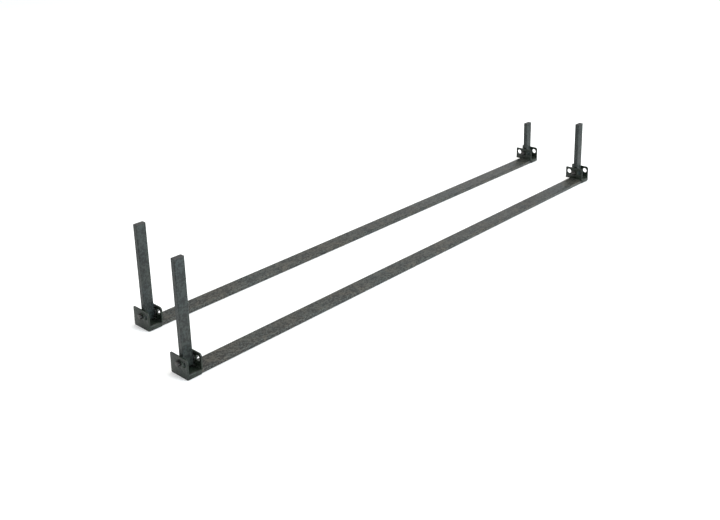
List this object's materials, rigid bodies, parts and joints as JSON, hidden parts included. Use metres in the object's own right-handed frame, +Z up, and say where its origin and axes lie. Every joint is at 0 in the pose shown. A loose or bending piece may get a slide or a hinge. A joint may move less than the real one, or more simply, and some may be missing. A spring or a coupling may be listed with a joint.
{
  "type": "ladder rack",
  "caption": "Pair of flat steel crossbars with folding upright posts at their ends, for carrying ladders on a truck or trailer roof.",
  "frame": {"origin": "under the middle of the whole rack, on the surface that the bars rest on", "axes": "+X along the crossbars towards the shorter posts, +Y from the front bar to the rear bar, +Z up"},
  "size_m": [1.9018, 0.336, 0.3],
  "materials": {
    "black_paint": "satin charcoal powder coat",
    "black_oxide": "black oxide",
    "zinc_steel": "zinc plated",
    "black_plastic": "moulded"
  },
  "bodies": {
    "crossbars": {"front_crossbar": "black_paint", "front_mounting_inserts": "zinc_steel", "front_left_outer_plate": "black_paint", "front_left_inner_plate": "black_paint", "front_left_saddle": "black_paint", "front_left_plate_welds": "black_paint", "front_left_spacer_washers": "black_plastic", "front_left_flat_washers": "black_oxide", "front_left_pivot_bolt": "black_oxide", "front_left_lock_nut": "black_oxide", "front_right_outer_plate": "black_paint", "front_right_inner_plate": "black_paint", "front_right_saddle": "black_paint", "front_right_plate_welds": "black_paint", "front_right_spacer_washers": "black_plastic", "front_right_flat_washers": "black_oxide", "front_right_pivot_bolt": "black_oxide", "front_right_lock_nut": "black_oxide", "rear_crossbar": "black_paint", "rear_mounting_inserts": "zinc_steel", "rear_left_outer_plate": "black_paint", "rear_left_inner_plate": "black_paint", "rear_left_saddle": "black_paint", "rear_left_plate_welds": "black_paint", "rear_left_spacer_washers": "black_plastic", "rear_left_flat_washers": "black_oxide", "rear_left_pivot_bolt": "black_oxide", "rear_left_lock_nut": "black_oxide", "rear_right_outer_plate": "black_paint", "rear_right_inner_plate": "black_paint", "rear_right_saddle": "black_paint", "rear_right_plate_welds": "black_paint", "rear_right_spacer_washers": "black_plastic", "rear_right_flat_washers": "black_oxide", "rear_right_pivot_bolt": "black_oxide", "rear_right_lock_nut": "black_oxide"},
    "front_left_post": {"front_left_post": "black_paint", "front_left_post_cap": "black_plastic", "front_left_pivot_bushing": "zinc_steel"},
    "front_right_post": {"front_right_post": "black_paint", "front_right_post_cap": "black_plastic", "front_right_pivot_bushing": "zinc_steel"},
    "rear_left_post": {"rear_left_post": "black_paint", "rear_left_post_cap": "black_plastic", "rear_left_pivot_bushing": "zinc_steel"},
    "rear_right_post": {"rear_right_post": "black_paint", "rear_right_post_cap": "black_plastic", "rear_right_pivot_bushing": "zinc_steel"}
  },
  "joints": [
    {"name": "front_left_post_fold", "type": "hinge", "parent": "crossbars", "child": "front_left_post", "pos_m": [-0.9219, -0.135, 0.035], "axis": [1, 0, 0], "range_deg": [-90, 90]},
    {"name": "front_right_post_fold", "type": "hinge", "parent": "crossbars", "child": "front_right_post", "pos_m": [0.8419, -0.135, 0.035], "axis": [1, 0, 0], "range_deg": [-90, 90]},
    {"name": "rear_left_post_fold", "type": "hinge", "parent": "crossbars", "child": "rear_left_post", "pos_m": [-0.8419, 0.135, 0.035], "axis": [1, 0, 0], "range_deg": [-90, 90]},
    {"name": "rear_right_post_fold", "type": "hinge", "parent": "crossbars", "child": "rear_right_post", "pos_m": [0.9219, 0.135, 0.035], "axis": [1, 0, 0], "range_deg": [-90, 90]}
  ]
}
